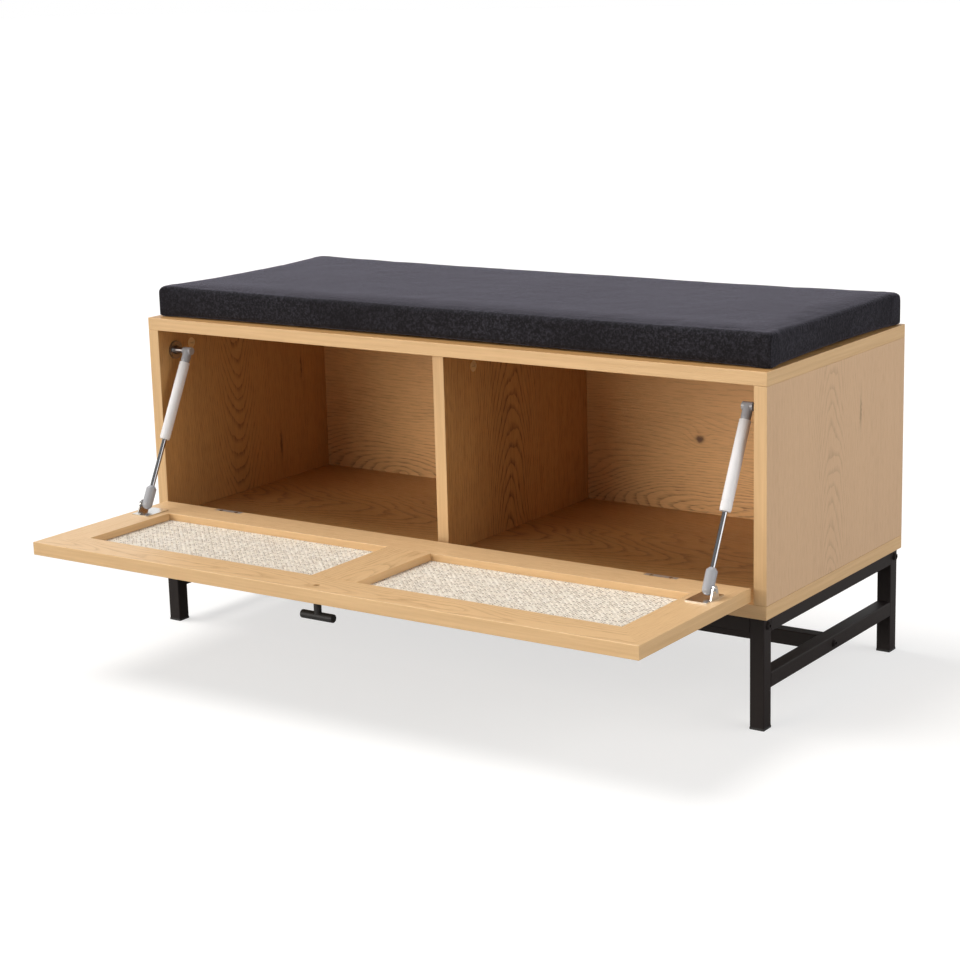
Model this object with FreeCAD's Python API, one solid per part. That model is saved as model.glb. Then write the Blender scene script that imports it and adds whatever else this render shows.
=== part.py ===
"""Shoe storage bench: two compartments behind a drop-down cane flap, a loose cushion and a tube leg frame.

Millimetres. X is the width, Y the depth with the front at -Y, and Z is up from the floor.
The origin is on the floor, in the middle of the footprint that the bench takes with its flap down.
"""
import FreeCAD
import Part

import math
import os

# Carcass boards
carcass_width = 1000.0
carcass_depth = 400.0
carcass_height = 310.0
board = 18.0
board_round = 0.8
back_board = 4.0
back_setback = 16.0
back_groove = 6.0

# Carcass fittings: cams under the top panel, screws up through the bottom panel, dowels at both
cam_radius = 7.5
cam_depth = 12.5
cam_setback = 28.0
cam_from_edge = 70.0
cam_slot_length = 9.0
cam_slot_width = 1.6
cam_slot_depth = 1.5
bottom_screw_radius = 2.5
bottom_screw_head_radius = 4.8
bottom_screw_length = 50.0
cam_bolt_thread_radius = 3.0
cam_bolt_anchor = 11.0
cam_bolt_shank_radius = 2.4
cam_bolt_head_radius = 3.4
cam_bolt_head_length = 4.0
dowel_radius = 4.0
dowel_in_panel = 11.0
dowel_in_edge = 19.0
dowel_from_edge = 110.0

# Leg frame of square tube
leg_height = 145.0
tube_side = 20.0
tube_wall = 1.5
tube_round = 1.6
leg_inset_side = 5.0
leg_inset_front = 3.0
lower_rail_height = 52.0
foot_thickness = 3.0
foot_plug_depth = 14.0
frame_bolt_radius = 3.0
frame_bolt_head_radius = 5.5
frame_bolt_crown_radius = 4.1
frame_bolt_head_length = 3.6
frame_bolt_socket_radius = 2.3
frame_bolt_socket_depth = 2.2
end_nut_length = 18.0
end_nut_thread = 14.0
carcass_screw_radius = 2.2
carcass_screw_head_radius = 4.2
carcass_screw_crown_radius = 2.9
carcass_screw_head_length = 2.6
carcass_screw_bite = 12.0
carcass_screw_spacing = 320.0

# Flap, drawn as it lies open
flap_thickness = 18.0
flap_gap = 2.0
flap_side_gap = 1.5
flap_stile = 55.0
flap_middle_stile = 72.0
flap_rail = 55.0
cane_depth = 10.0
cane_thickness = 1.6
cane_rebate = 9.0
divider_clearance = 2.5

# Flap hinges
hinge_offset = 3.0
hinge_from_middle = 357.0
hinge_length = 48.0
hinge_leaf_thickness = 1.6
hinge_leaf_depth = 16.0
hinge_leaf_drop = 0.2
hinge_tab_depth = 9.5
hinge_tab_screw = 5.0
hinge_knuckle_radius = 2.6
hinge_pin_radius = 1.3
hinge_running_gap = 0.05
hinge_end_gap = 0.3
hinge_screw_spacing = 28.0
hinge_screw_from_edge = 9.0

# Countersunk screws; the last two are shares of the head's radius and depth
small_screw_radius = 1.6
small_screw_head_radius = 3.0
small_screw_length = 13.0
screw_recess_width = 0.8
screw_recess_reach = 0.6
screw_recess_depth = 0.7

# T-bar knob
knob_from_edge = 20.0
knob_bar_radius = 5.5
knob_bar_length = 51.0
knob_bar_round = 1.0
knob_stem_radius = 5.0
knob_stem_length = 17.0
knob_screw_radius = 2.0
knob_screw_head_radius = 4.0
knob_screw_head_length = 3.0
knob_screw_slot_length = 4.8
knob_screw_bite = 10.0
knob_counterbore_radius = 4.6
knob_counterbore_depth = 6.0

# Gas struts
strut_from_side = 25.0
strut_top_drop = 33.0
strut_top_setback = 34.0
strut_flap_reach = 67.0
strut_flap_height = 12.0
strut_tube_radius = 7.5
strut_tube_wall = 1.0
strut_tube_length = 114.0
strut_crimp_depth = 0.4
strut_crimp_width = 1.6
strut_lower_crimp = 10.0
strut_upper_crimp = 3.0
strut_rod_radius = 3.2
strut_piston_length = 8.0
strut_gland_length = 10.0
strut_gland_lip = 2.0
strut_lower_socket_radius = 7.3
strut_lower_socket_length = 27.0
strut_upper_eye_radius = 5.5
strut_upper_socket_radius = 6.5
strut_upper_socket_length = 18.0
strut_socket_thread = 10.0
strut_socket_lip = 1.0
strut_fit = 0.05
strut_open_pivot_gap = 0.4
strut_stud_radius = 3.0
strut_stud_bore = 7.0
strut_rivet_radius = 4.2
strut_disc_radius = 13.0
strut_disc_thickness = 3.0
strut_disc_screw_spacing = 16.5
strut_cup_radius = 6.5
strut_ear_gap = 1.0
strut_ear_thickness = 2.0
strut_ear_length = 22.0
strut_ear_top_radius = 6.0
strut_plate_thickness = 1.5
strut_plate_width = 30.0
strut_plate_length = 44.0
strut_plate_screw_inset = 6.0
strut_plate_screw_spacing = 30.0

# Loose cushion
cushion_width = 986.0
cushion_depth = 379.0
cushion_thickness = 45.0
cushion_from_front = 20.0
cushion_gap = 0.3
cushion_corner = 16.0
cushion_draw_in = 4.0
cushion_cover = 1.5
cushion_edge_round = 10.0
cushion_crown_height = 3.0
cushion_crown_inset = 110.0
cushion_crown_knee_height = 2.0
cushion_crown_knee_inset = 44.0

# Places worked out from the sizes above
half_width = carcass_width / 2
floor_level = leg_height + board
ceiling_level = leg_height + carcass_height - board
seat_level = leg_height + carcass_height
inner_side = half_width - board

flap_length = ceiling_level - floor_level - 2 * flap_gap
flap_reach = hinge_offset + flap_gap / 2 + flap_length
front = (flap_reach - carcass_depth) / 2
rear = front + carcass_depth
middle = (front + rear) / 2
back_face = rear - back_setback - back_board
divider_front = front + flap_thickness + divider_clearance

axis_y = front - hinge_offset
axis_z = floor_level + flap_gap / 2
flap_rear = axis_y - flap_gap / 2
flap_front = flap_rear - flap_length
flap_outer = axis_z + hinge_offset
flap_inner = flap_outer + flap_thickness
flap_half = inner_side - flap_side_gap

across = FreeCAD.Vector(1, 0, 0)
back = FreeCAD.Vector(0, 1, 0)
up = FreeCAD.Vector(0, 0, 1)


def point(x, y, z):
    return FreeCAD.Vector(x, y, z)


def block(x_range, y_range, z_range):
    """A box between two corners."""
    low = point(min(x_range), min(y_range), min(z_range))
    high = point(max(x_range), max(y_range), max(z_range))
    size = high - low
    return Part.makeBox(size.x, size.y, size.z, low)


def round_board(x_range, y_range, z_range):
    """A board whose edges are slightly broken."""
    plain = block(x_range, y_range, z_range)
    return plain.makeFillet(board_round, plain.Edges)


def bar(radius, start, end):
    """A round bar between two points."""
    run = end - start
    return Part.makeCylinder(radius, run.Length, start, run)


def taper(start_radius, end_radius, start, end):
    """A round bar that narrows or widens between two points."""
    run = end - start
    if abs(start_radius - end_radius) < 0.001:
        return bar(start_radius, start, end)
    return Part.makeCone(start_radius, end_radius, run.Length, start, run)


def join(first, *others):
    """Fuses touching pieces of one solid."""
    return first.fuse(list(others)).removeSplitter()


def save(name, shape):
    """Writes one node; a list becomes a group of separate solids."""
    solid = Part.makeCompound(shape) if isinstance(shape, list) else shape
    solid.exportStep("parts/%s.step" % name)


def wood_screw(head_centre, direction, radius, head_radius, length):
    """A countersunk screw with a cross recess, and its hole; direction points into the wood."""
    way = FreeCAD.Vector(direction).normalize()
    head_length = head_radius - radius
    neck = head_centre + way * head_length
    tip = head_centre + way * length
    shoulder = tip - way * (2 * radius)
    screw = join(
        taper(head_radius, radius, head_centre, neck),
        bar(radius, neck, shoulder),
        taper(radius, radius / 4, shoulder, tip),
    )
    reach = head_radius * screw_recess_reach
    half = screw_recess_width / 2
    depth = head_length * screw_recess_depth
    slots = [
        block((-reach, reach), (-half, half), (0, depth)),
        block((-half, half), (-reach, reach), (0, depth)),
    ]
    for slot in slots:
        slot.Placement = FreeCAD.Placement(head_centre, FreeCAD.Rotation(up, way))
    return screw.cut(slots), screw


def small_screw(head_centre, direction):
    return wood_screw(head_centre, direction, small_screw_radius, small_screw_head_radius, small_screw_length)


# Carcass fittings: what holds the upright boards between the top and the bottom panel
def upright_boards():
    """Name, middle plane, cam face, the way into the board, front and rear of each upright board."""
    return [
        ("left_side_panel", -half_width + board / 2, -inner_side, -1, front, rear),
        ("right_side_panel", half_width - board / 2, inner_side, 1, front, rear),
        ("centre_divider", 0.0, board / 2, -1, divider_front, back_face),
    ]


def cam_set(mid_x, face_x, into, y):
    """One cam, its bolt up into the top panel, and the cam's seat."""
    cam_z = ceiling_level - cam_setback
    anchor_z = ceiling_level + cam_bolt_anchor
    head_z = cam_z + cam_bolt_head_length
    bolt = join(
        bar(cam_bolt_thread_radius, point(mid_x, y, ceiling_level), point(mid_x, y, anchor_z)),
        bar(cam_bolt_shank_radius, point(mid_x, y, head_z), point(mid_x, y, ceiling_level)),
        bar(cam_bolt_head_radius, point(mid_x, y, cam_z), point(mid_x, y, head_z)),
    )
    seat = bar(cam_radius, point(face_x, y, cam_z), point(face_x + into * cam_depth, y, cam_z))
    slot = block(
        (face_x, face_x + into * cam_slot_depth),
        (y - cam_slot_length / 2, y + cam_slot_length / 2),
        (cam_z - cam_slot_width / 2, cam_z + cam_slot_width / 2),
    )
    return seat.cut([bolt, slot]), bolt, seat


def bottom_screw(mid_x, y):
    """A screw from under the bottom panel up into an upright board, and its hole."""
    head = point(mid_x, y, leg_height)
    return wood_screw(head, up, bottom_screw_radius, bottom_screw_head_radius, bottom_screw_length)


def dowel(mid_x, y, joint_z, into_panel):
    start = point(mid_x, y, joint_z - into_panel * dowel_in_edge)
    end = point(mid_x, y, joint_z + into_panel * dowel_in_panel)
    return bar(dowel_radius, start, end)


def make_fittings():
    """Cams, bolts, screws and dowels; returns the cuts that each board needs."""
    cams = []
    bolts = []
    screws = []
    dowels = []
    lying_boards = [("top_panel", ceiling_level, 1), ("bottom_panel", floor_level, -1)]
    cuts = {"top_panel": [], "bottom_panel": []}
    for name, mid_x, face_x, into, first, last in upright_boards():
        cuts[name] = []
        for y in (first + cam_from_edge, last - cam_from_edge):
            cam, bolt, seat = cam_set(mid_x, face_x, into, y)
            screw, hole = bottom_screw(mid_x, y)
            cams.append(cam)
            bolts.append(bolt)
            screws.append(screw)
            cuts[name] += [seat, bolt, hole]
            cuts["top_panel"].append(bolt)
            cuts["bottom_panel"].append(hole)
        for y in (first + dowel_from_edge, last - dowel_from_edge):
            for lying, joint_z, into_panel in lying_boards:
                pin = dowel(mid_x, y, joint_z, into_panel)
                dowels.append(pin)
                cuts[name].append(pin)
                cuts[lying].append(pin)
    save("cam_locks", cams)
    save("cam_bolts", bolts)
    save("bottom_screws", screws)
    save("wood_dowels", dowels)
    return cuts


# Leg frame
leg_x = half_width - leg_inset_side - tube_side / 2
leg_front_y = front + leg_inset_front + tube_side / 2
leg_rear_y = rear - leg_inset_front - tube_side / 2
upper_rail_z = leg_height - tube_side / 2
lower_rail_z = lower_rail_height + tube_side / 2
outer_face_x = leg_x + tube_side / 2
inner_face_x = leg_x - tube_side / 2


def square_tube(start, end):
    """A hollow square tube with rounded corners along one axis."""
    run = end - start
    half = tube_side / 2
    outer = Part.makeBox(tube_side, tube_side, run.Length, point(-half, -half, 0))
    corners = [edge for edge in outer.Edges if abs(edge.tangentAt(edge.FirstParameter).z) > 0.5]
    outer = outer.makeFillet(tube_round, corners)
    hollow = tube_side - 2 * tube_wall
    bore = Part.makeBox(hollow, hollow, run.Length, point(-hollow / 2, -hollow / 2, 0))
    tube = outer.cut(bore)
    tube.Placement = FreeCAD.Placement(start, FreeCAD.Rotation(up, run))
    return tube


def frame_bolt(side, y, z):
    """A button-head bolt that goes in along X from the outside of an end frame."""
    face = point(side * outer_face_x, y, z)
    way = across * -side
    crown = face - way * frame_bolt_head_length
    shank_end = face + way * (tube_side + end_nut_thread)
    body = join(
        taper(frame_bolt_crown_radius, frame_bolt_head_radius, crown, face),
        bar(frame_bolt_radius, face, shank_end),
    )
    socket = bar(frame_bolt_socket_radius, crown, crown + way * frame_bolt_socket_depth)
    return body.cut(socket), body


def end_nut(side, y, z):
    """The threaded plug inside a long rail's end."""
    half = tube_side / 2 - tube_wall
    start = side * inner_face_x
    end = start - side * end_nut_length
    return block((start, end), (y - half, y + half), (z - half, z + half))


def carcass_screw(x, y):
    """A pan-head screw up through an upper rail into the bottom panel."""
    seat = point(x, y, leg_height - tube_side)
    crown = seat - up * carcass_screw_head_length
    tip = point(x, y, leg_height + carcass_screw_bite)
    return join(
        taper(carcass_screw_crown_radius, carcass_screw_head_radius, crown, seat),
        bar(carcass_screw_radius, seat, tip),
    )


def foot_plug(x, y):
    half = tube_side / 2
    plug = half - tube_wall
    sole = block((x - half, x + half), (y - half, y + half), (0, foot_thickness))
    stem_top = foot_thickness + foot_plug_depth
    stem = block((x - plug, x + plug), (y - plug, y + plug), (foot_thickness, stem_top))
    return join(sole, stem)


def make_leg_frame():
    """Legs, rails, stretcher and what holds them together; returns the screws for the bottom panel."""
    bolts = []
    nuts = []
    legs = {}
    rails = {}
    plugs = []
    for side_name, side in (("left", -1), ("right", 1)):
        x = side * leg_x
        for end_name, y in (("front", leg_front_y), ("rear", leg_rear_y)):
            bolt, hole = frame_bolt(side, y, upper_rail_z)
            leg = square_tube(point(x, y, foot_thickness), point(x, y, leg_height)).cut(hole)
            legs["%s_%s_leg" % (end_name, side_name)] = leg
            bolts.append(bolt)
            nuts.append(end_nut(side, y, upper_rail_z).cut(hole))
            plugs.append(foot_plug(x, y))
        between = (leg_front_y + tube_side / 2, leg_rear_y - tube_side / 2)
        bolt, hole = frame_bolt(side, middle, lower_rail_z)
        bolts.append(bolt)
        nuts.append(end_nut(side, middle, lower_rail_z).cut(hole))
        rails[side_name + "_upper_rail"] = square_tube(
            point(x, between[0], upper_rail_z), point(x, between[1], upper_rail_z)
        )
        rails[side_name + "_lower_rail"] = square_tube(
            point(x, between[0], lower_rail_z), point(x, between[1], lower_rail_z)
        ).cut(hole)
    screws = {}
    for name, y in (("front_upper_rail", leg_front_y), ("rear_upper_rail", leg_rear_y)):
        screws[name] = [carcass_screw(step * carcass_screw_spacing, y) for step in (-1, 0, 1)]
        rail = square_tube(point(-inner_face_x, y, upper_rail_z), point(inner_face_x, y, upper_rail_z))
        rails[name] = rail.cut(screws[name])
    rails["long_stretcher"] = square_tube(
        point(-inner_face_x, middle, lower_rail_z), point(inner_face_x, middle, lower_rail_z)
    )
    for name, shape in list(legs.items()) + list(rails.items()):
        save(name, shape)
    all_screws = screws["front_upper_rail"] + screws["rear_upper_rail"]
    save("frame_bolts", bolts)
    save("rail_end_nuts", nuts)
    save("foot_plugs", plugs)
    save("carcass_screws", all_screws)
    return all_screws


# Flap hinges: one leaf let into the bottom panel, one that wraps the flap's edge onto its inner face
def on_axis(radius, x_start, x_end):
    """A round bar on the hinge axis."""
    return bar(radius, point(x_start, axis_y, axis_z), point(x_end, axis_y, axis_z))


def hinge_leaves(centre_x):
    """The cabinet leaf, the flap leaf, the pin and the screws of one hinge, with the wood's mortises."""
    x_low = centre_x - hinge_length / 2
    x_high = centre_x + hinge_length / 2
    low_third = x_low + hinge_length / 3
    high_third = x_high - hinge_length / 3
    whole_x = (x_low, x_high)
    cabinet_z = (floor_level - hinge_leaf_thickness, floor_level)
    flap_y = (flap_rear - hinge_leaf_thickness, flap_rear)
    cabinet_plate = block(whole_x, (axis_y, front + hinge_leaf_depth), cabinet_z)
    cabinet_mortise = block(whole_x, (front, front + hinge_leaf_depth), cabinet_z)
    leaf_top = flap_inner - hinge_leaf_drop
    tab_y = (flap_rear - hinge_tab_depth, flap_rear)
    tab_low = leaf_top - hinge_leaf_thickness
    flap_plate = join(block(whole_x, flap_y, (axis_z, leaf_top)), block(whole_x, tab_y, (tab_low, leaf_top)))
    flap_mortises = [
        block(whole_x, flap_y, (flap_outer, flap_inner)),
        block(whole_x, tab_y, (tab_low, flap_inner)),
    ]

    room = hinge_knuckle_radius + hinge_end_gap
    middle_room = on_axis(room, low_third, high_third)
    end_rooms = [
        on_axis(room, x_low - hinge_end_gap, low_third + hinge_end_gap),
        on_axis(room, high_third - hinge_end_gap, x_high + hinge_end_gap),
    ]
    low_knuckle = on_axis(hinge_knuckle_radius, x_low, low_third)
    high_knuckle = on_axis(hinge_knuckle_radius, high_third, x_high)
    middle_knuckle = on_axis(hinge_knuckle_radius, low_third + hinge_end_gap, high_third - hinge_end_gap)
    pin = on_axis(hinge_pin_radius, x_low, x_high)
    running_bore = on_axis(hinge_pin_radius + hinge_running_gap, x_low, x_high)
    cabinet_leaf = join(cabinet_plate.cut(middle_room), low_knuckle, high_knuckle).cut(pin)
    flap_leaf = join(flap_plate.cut(end_rooms), middle_knuckle).cut(running_bore)
    cabinet_screws = []
    flap_screws = []
    for step in (-0.5, 0.5):
        x = centre_x + step * hinge_screw_spacing
        cabinet_screws.append(small_screw(point(x, front + hinge_screw_from_edge, floor_level), -up))
        flap_screws.append(small_screw(point(x, flap_rear - hinge_tab_screw, leaf_top), -up))
    return {
        "cabinet_leaf": cabinet_leaf.cut([hole for screw, hole in cabinet_screws]),
        "flap_leaf": flap_leaf.cut([hole for screw, hole in flap_screws]),
        "pin": pin,
        "cabinet_screws": [screw for screw, hole in cabinet_screws],
        "flap_screws": [screw for screw, hole in flap_screws],
        "cabinet_cuts": [cabinet_mortise] + [hole for screw, hole in cabinet_screws],
        "flap_cuts": flap_mortises + [hole for screw, hole in flap_screws],
    }


# Gas struts: the rod end turns on the flap's stud, and the tube slides over the rod
pivot_y = axis_y - strut_flap_reach
pivot_z = flap_inner + strut_flap_height
strut_top_y = front + strut_top_setback
strut_top_z = ceiling_level - strut_top_drop
strut_x = inner_side - strut_from_side


def strut_points(side):
    """The lower pivot, the upper pivot and the unit vector between them."""
    low = point(side * strut_x, pivot_y, pivot_z)
    high = point(side * strut_x, strut_top_y, strut_top_z)
    return low, high, (high - low).normalize()


def socket(pivot, way, eye, radius, length, neck_radius):
    """A plastic end fitting: an eye at the pivot and a barrel along the strut with a tapered collar."""
    collar_start = pivot + way * (length - radius / 2)
    barrel = bar(radius, pivot, collar_start)
    collar = taper(radius, neck_radius, collar_start, pivot + way * length)
    return join(eye, barrel, collar)


def crimp(start, way):
    """The ring that a rolled groove takes off a strut's tube."""
    end = start + way * strut_crimp_width
    return bar(strut_tube_radius + strut_crimp_depth, start, end).cut(
        bar(strut_tube_radius - strut_crimp_depth, start, end)
    )


def make_strut(side_name, side):
    low, high, way = strut_points(side)
    bore_radius = strut_tube_radius - strut_tube_wall
    tube_top = high - way * strut_upper_socket_length
    tube_end = tube_top - way * strut_tube_length
    gland_top = tube_end + way * strut_gland_length
    gland_tip = tube_end - way * strut_gland_lip
    rod_start = low + way * (strut_lower_socket_length - strut_socket_thread)
    piston_low = gland_top + way * strut_gland_lip
    piston_high = piston_low + way * strut_piston_length
    stud_out = across * side

    rod = bar(strut_rod_radius, rod_start, piston_low)
    stud_hole = bar(
        strut_stud_radius + strut_fit,
        low + stud_out * (strut_lower_socket_radius - strut_stud_bore),
        low + stud_out * strut_lower_socket_radius,
    )
    ball = Part.makeSphere(strut_lower_socket_radius, low)
    lower_neck = strut_rod_radius + strut_socket_lip
    rod_socket = socket(low, way, ball, strut_lower_socket_radius, strut_lower_socket_length, lower_neck)
    save(side_name + "_strut_rod", rod)
    save(side_name + "_strut_rod_socket", rod_socket.cut([stud_hole, rod]))
    save(side_name + "_strut_piston", bar(bore_radius - strut_fit, piston_low, piston_high))

    bore = bar(bore_radius, tube_end, tube_top)
    lower_crimp = crimp(tube_end + way * strut_lower_crimp, way)
    upper_crimp = crimp(tube_top - way * (strut_upper_crimp + strut_crimp_width), way)
    tube = bar(strut_tube_radius, tube_end, tube_top).cut([bore, lower_crimp, upper_crimp])
    gland_bore = bar(strut_rod_radius + strut_fit, gland_tip, gland_top)
    gland_lip = bar(strut_tube_radius - strut_tube_wall / 2, gland_tip, tube_end)
    gland = join(bar(bore_radius, tube_end, gland_top), gland_lip)
    plug = bar(bore_radius, tube_top, tube_top - way * strut_socket_thread)
    eye = bar(strut_upper_eye_radius, high - across * strut_tube_radius, high + across * strut_tube_radius)
    upper_neck = strut_upper_socket_radius - strut_tube_wall
    upper = socket(high, -way, eye, strut_upper_socket_radius, strut_upper_socket_length, upper_neck)
    save(side_name + "_strut_tube", tube)
    save(side_name + "_strut_gland", gland.cut(gland_bore))
    save(side_name + "_strut_tube_socket", join(upper, plug))


def strut_cabinet_bracket(side):
    """A screwed disc on the side panel with a cup and a stud that end just short of the strut's eye."""
    low, high, way = strut_points(side)
    wall = point(side * inner_side, high.y, high.z)
    inward = across * -side
    eye_face = high - inward * strut_tube_radius
    disc_face = wall + inward * strut_disc_thickness
    stud_end = eye_face - inward * strut_open_pivot_gap
    disc = bar(strut_disc_radius, wall, disc_face)
    neck = taper(strut_cup_radius, strut_stud_radius, disc_face, stud_end)
    screws = []
    for step in (-0.5, 0.5):
        head = disc_face + back * (step * strut_disc_screw_spacing)
        screws.append(small_screw(head, -inward))
    holes = [hole for screw, hole in screws]
    return join(disc, neck).cut(holes), [screw for screw, hole in screws], holes


def strut_flap_bracket(side):
    """A bent plate screwed to the flap, with an upright ear that carries the rod end's stud."""
    low, high, way = strut_points(side)
    ear_inner = side * (strut_x + strut_lower_socket_radius + strut_ear_gap)
    ear_outer = ear_inner + side * strut_ear_thickness
    plate_inner = ear_outer - side * strut_plate_width
    half_plate = strut_plate_length / 2
    half_ear = strut_ear_length / 2
    plate_top = flap_inner + strut_plate_thickness
    plate = block((plate_inner, ear_outer), (low.y - half_plate, low.y + half_plate), (flap_inner, plate_top))
    profile = Part.makePolygon([
        point(ear_inner, low.y - half_ear, flap_inner),
        point(ear_inner, low.y - strut_ear_top_radius, low.z),
        point(ear_inner, low.y + strut_ear_top_radius, low.z),
        point(ear_inner, low.y + half_ear, flap_inner),
        point(ear_inner, low.y - half_ear, flap_inner),
    ])
    ear = Part.Face(profile).extrude(across * (side * strut_ear_thickness))
    inner_centre = point(ear_inner, low.y, low.z)
    outer_centre = point(ear_outer, low.y, low.z)
    crown = bar(strut_ear_top_radius, inner_centre, outer_centre)
    stud_tip = side * (strut_x + strut_lower_socket_radius - strut_stud_bore + strut_ear_gap)
    rivet_top = outer_centre + across * (side * strut_ear_thickness)
    stud = join(
        bar(strut_stud_radius, point(stud_tip, low.y, low.z), outer_centre),
        taper(strut_rivet_radius, strut_stud_radius, outer_centre, rivet_top),
    )
    screws = []
    screw_x = plate_inner + side * strut_plate_screw_inset
    for step in (-0.5, 0.5):
        head = point(screw_x, low.y + step * strut_plate_screw_spacing, plate_top)
        screws.append(small_screw(head, -up))
    holes = [hole for screw, hole in screws]
    bracket = join(plate, ear, crown).cut([stud] + holes)
    return bracket, stud, [screw for screw, hole in screws], holes


# Flap: a mitred frame with two windows, a cane sheet let in from the outer face and beads that hold it
window_y = (flap_front + flap_rail, flap_rear - flap_rail)


def window_x(side):
    return (side * flap_middle_stile / 2, side * (flap_half - flap_stile))


def grown(span, margin):
    return (min(span) - margin, max(span) + margin)


def cane_beads(side):
    """Four strips that fill the rebate under one cane sheet."""
    z_range = (flap_outer, flap_inner - cane_depth - cane_thickness)
    x_out = grown(window_x(side), cane_rebate)
    y_out = grown(window_y, cane_rebate)
    y_in = grown(window_y, 0)
    x_in = grown(window_x(side), 0)
    return [
        block(x_out, (y_out[0], y_in[0]), z_range),
        block(x_out, (y_in[1], y_out[1]), z_range),
        block((x_out[0], x_in[0]), y_in, z_range),
        block((x_in[1], x_out[1]), y_in, z_range),
    ]


def make_knob():
    """T-bar knob under the open flap; returns the cuts for the flap board."""
    y = flap_front + knob_from_edge
    bar_z = flap_outer - knob_stem_length - knob_bar_radius
    half = knob_bar_length / 2
    grip = bar(knob_bar_radius, point(-half, y, bar_z), point(half, y, bar_z))
    rims = [edge for edge in grip.Edges if edge.Curve.TypeId == "Part::GeomCircle"]
    grip = grip.makeFillet(knob_bar_round, rims)
    counterbore_z = flap_inner - knob_counterbore_depth
    head_top = counterbore_z + knob_screw_head_length
    screw = join(
        bar(knob_screw_head_radius, point(0, y, counterbore_z), point(0, y, head_top)),
        bar(knob_screw_radius, point(0, y, flap_outer - knob_screw_bite), point(0, y, counterbore_z)),
    )
    drive = block(
        (-knob_screw_slot_length / 2, knob_screw_slot_length / 2),
        (y - screw_recess_width / 2, y + screw_recess_width / 2),
        (head_top - knob_screw_head_length / 2, head_top),
    )
    stem = bar(knob_stem_radius, point(0, y, bar_z), point(0, y, flap_outer)).cut([grip, screw])
    save("knob_bar", grip)
    save("knob_stem", stem)
    save("knob_screw", screw.cut(drive))
    counterbore = bar(knob_counterbore_radius, point(0, y, counterbore_z), point(0, y, flap_inner))
    return [counterbore, screw]


def flap_member(corners, grain):
    """One stile or rail; corners are its plan and grain the way it runs, whose long edges are rounded."""
    ring = [point(x, y, flap_outer) for x, y in corners]
    plain = Part.Face(Part.makePolygon(ring + ring[:1])).extrude(up * flap_thickness)
    long_edges = [edge for edge in plain.Edges if abs(edge.tangentAt(edge.FirstParameter).dot(grain)) > 0.99]
    return plain.makeFillet(board_round, long_edges)


def flap_members():
    """Two rails and two stiles with mitred corners, and the stile between the windows."""
    x_in = flap_half - flap_stile
    y_low, y_high = window_y
    rear_left, rear_right = (-flap_half, flap_rear), (flap_half, flap_rear)
    front_left, front_right = (-flap_half, flap_front), (flap_half, flap_front)
    in_rear_left, in_rear_right = (-x_in, y_high), (x_in, y_high)
    in_front_left, in_front_right = (-x_in, y_low), (x_in, y_low)
    mid = flap_middle_stile / 2
    return {
        "flap_hinge_rail": flap_member([rear_left, rear_right, in_rear_right, in_rear_left], across),
        "flap_free_rail": flap_member([front_left, front_right, in_front_right, in_front_left], across),
        "flap_left_stile": flap_member([rear_left, in_rear_left, in_front_left, front_left], back),
        "flap_right_stile": flap_member([rear_right, in_rear_right, in_front_right, front_right], back),
        "flap_middle_stile": flap_member([(-mid, y_high), (mid, y_high), (mid, y_low), (-mid, y_low)], back),
    }


def make_flap(cuts):
    """The flap's frame, the cane sheets and their beads."""
    cane_top = flap_inner - cane_depth
    beads = []
    for side_name, side in (("left", -1), ("right", 1)):
        x_in = window_x(side)
        x_out = grown(x_in, cane_rebate)
        y_out = grown(window_y, cane_rebate)
        cuts = cuts + [block(x_out, y_out, (flap_outer, cane_top))]
        save(side_name + "_cane_panel", block(x_out, y_out, (cane_top - cane_thickness, cane_top)))
        beads += cane_beads(side)
    for name, member in flap_members().items():
        save(name, member.cut(cuts))
    save("cane_beads", beads)


# Cushion: a crowned pad whose sides draw in between its corners
def cushion_wire(half_x, half_y, z, inset):
    """One level of the pad: four corner arcs joined by four shallow arcs."""
    hx = half_x - inset
    hy = half_y - inset
    mid_y = front + cushion_from_front + cushion_depth / 2
    draw = cushion_draw_in
    corner = cushion_corner
    reach = corner * (1 - math.sqrt(0.5))

    def at(x, y):
        return point(x, mid_y + y, z)

    arcs = [
        (at(-hx + corner, -hy), at(0, -hy + draw), at(hx - corner, -hy)),
        (at(hx - corner, -hy), at(hx - reach, -hy + reach), at(hx, -hy + corner)),
        (at(hx, -hy + corner), at(hx - draw, 0), at(hx, hy - corner)),
        (at(hx, hy - corner), at(hx - reach, hy - reach), at(hx - corner, hy)),
        (at(hx - corner, hy), at(0, hy - draw), at(-hx + corner, hy)),
        (at(-hx + corner, hy), at(-hx + reach, hy - reach), at(-hx, hy - corner)),
        (at(-hx, hy - corner), at(-hx + draw, 0), at(-hx, -hy + corner)),
        (at(-hx, -hy + corner), at(-hx + reach, -hy + reach), at(-hx + corner, -hy)),
    ]
    return Part.Wire([Part.Arc(*three).toShape() for three in arcs])


def cushion_solid(shrink):
    """The pad, or its core when shrink is the cover's thickness."""
    base = seat_level + cushion_gap + shrink
    height = cushion_thickness - 2 * shrink
    shoulder = height - cushion_crown_height
    upper_round = cushion_edge_round
    lower_round = cushion_edge_round / 2
    levels = []
    for turn in (90, 45, 0):
        angle = math.radians(turn)
        levels.append((lower_round * (1 - math.sin(angle)), lower_round * (1 - math.cos(angle))))
    for turn in (0, 30, 60, 90):
        angle = math.radians(turn)
        levels.append((shoulder - upper_round * (1 - math.sin(angle)), upper_round * (1 - math.cos(angle))))
    levels.append((shoulder + cushion_crown_knee_height, cushion_crown_knee_inset))
    levels.append((height, cushion_crown_inset))
    half_x = cushion_width / 2 - shrink
    half_y = cushion_depth / 2 - shrink
    wires = [cushion_wire(half_x, half_y, base + z, inset) for z, inset in levels]
    return Part.makeLoft(wires, True, True)


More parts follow.
